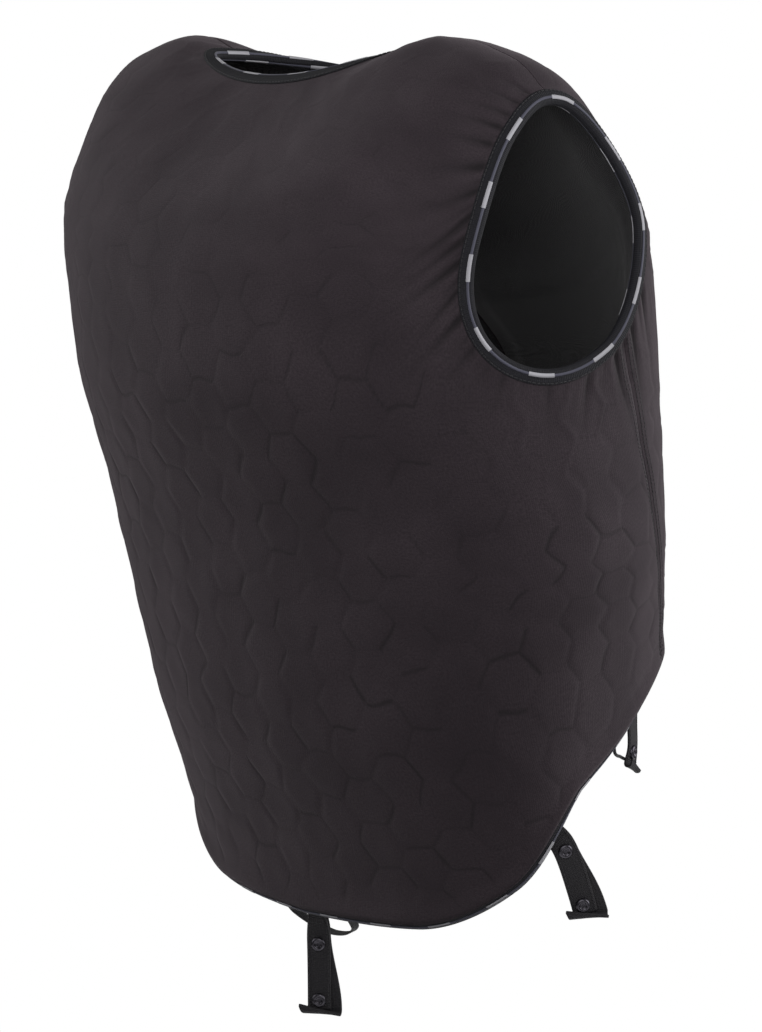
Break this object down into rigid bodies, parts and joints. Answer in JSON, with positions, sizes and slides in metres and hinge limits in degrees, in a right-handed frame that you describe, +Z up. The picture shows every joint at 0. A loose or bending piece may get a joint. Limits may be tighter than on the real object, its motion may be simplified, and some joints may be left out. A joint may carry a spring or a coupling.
{
  "type": "riding body protector vest",
  "caption": "Sleeveless padded riding vest with foam tiles under stretch cloth, bound neck, armholes and hem, a front zip and short webbing straps with press studs.",
  "frame": {"origin": "where the vest hangs from the wearer's shoulders: midway between the two shoulder crests, at about crest height", "axes": "+Z up, the wearer faces -Y and their right side is -X"},
  "size_m": [0.486, 0.3473, 0.6529],
  "materials": {
    "cloth": "matte black stretch cloth over foam tiles",
    "binding": "dark woven binding tape with pale woven dashes",
    "zip": "black moulded coil zip",
    "webbing": "black flat woven webbing",
    "elastic": "black braided elastic",
    "stud": "dark nickel press stud"
  },
  "bodies": {
    "root": {"back_panel": "cloth", "front_panel_right": "cloth", "front_panel_left": "cloth", "front_zip": "zip", "neck_binding": "binding", "armhole_binding_right": "binding", "armhole_binding_left": "binding", "hem_binding": "binding", "tail_strap": "webbing", "tail_keeper": "webbing", "hip_strap_right": "webbing", "hip_strap_left": "webbing", "hip_keeper_right": "webbing", "hip_keeper_left": "webbing", "front_strap_right": "webbing", "front_strap_left": "webbing", "tail_stud_upper": "stud", "tail_stud_lower": "stud", "hip_stud_upper_right": "stud", "hip_stud_upper_left": "stud", "hip_stud_lower_right": "stud", "hip_stud_lower_left": "stud", "front_stud_right": "stud", "front_stud_left": "stud", "tail_loop": "elastic", "front_loop_right": "elastic", "front_loop_left": "elastic"}
  },
  "joints": []
}
